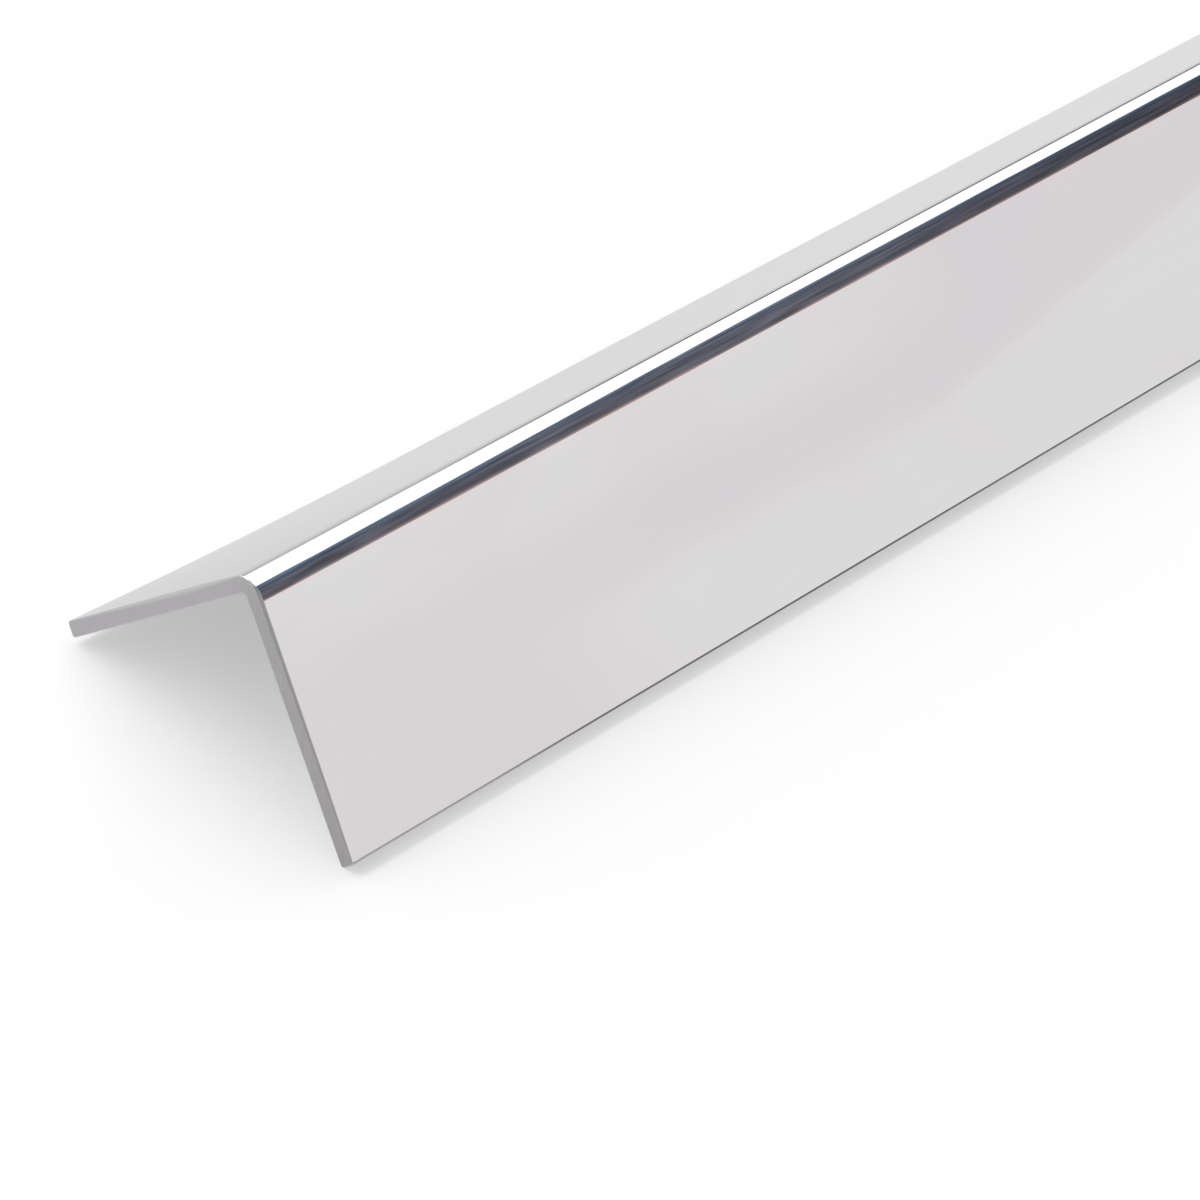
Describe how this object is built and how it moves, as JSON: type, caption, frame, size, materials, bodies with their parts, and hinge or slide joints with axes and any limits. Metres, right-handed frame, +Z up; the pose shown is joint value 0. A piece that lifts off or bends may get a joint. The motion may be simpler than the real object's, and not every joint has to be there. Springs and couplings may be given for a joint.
{
  "type": "wall panel l-trim",
  "caption": "Long equal-leg angle of mirror-polished sheet with a rounded ridge; it covers and protects the outside corner between two wall panels.",
  "frame": {"origin": "on the floor, under the middle of the ridge, halfway along the length", "axes": "+X along the length, +Z up through the ridge, -Y towards the leg on the front"},
  "size_m": [2.44, 0.0352, 0.0178],
  "materials": {
    "polished_metal": "mirror polished"
  },
  "bodies": {
    "root": {"l_trim": "polished_metal"}
  },
  "joints": []
}
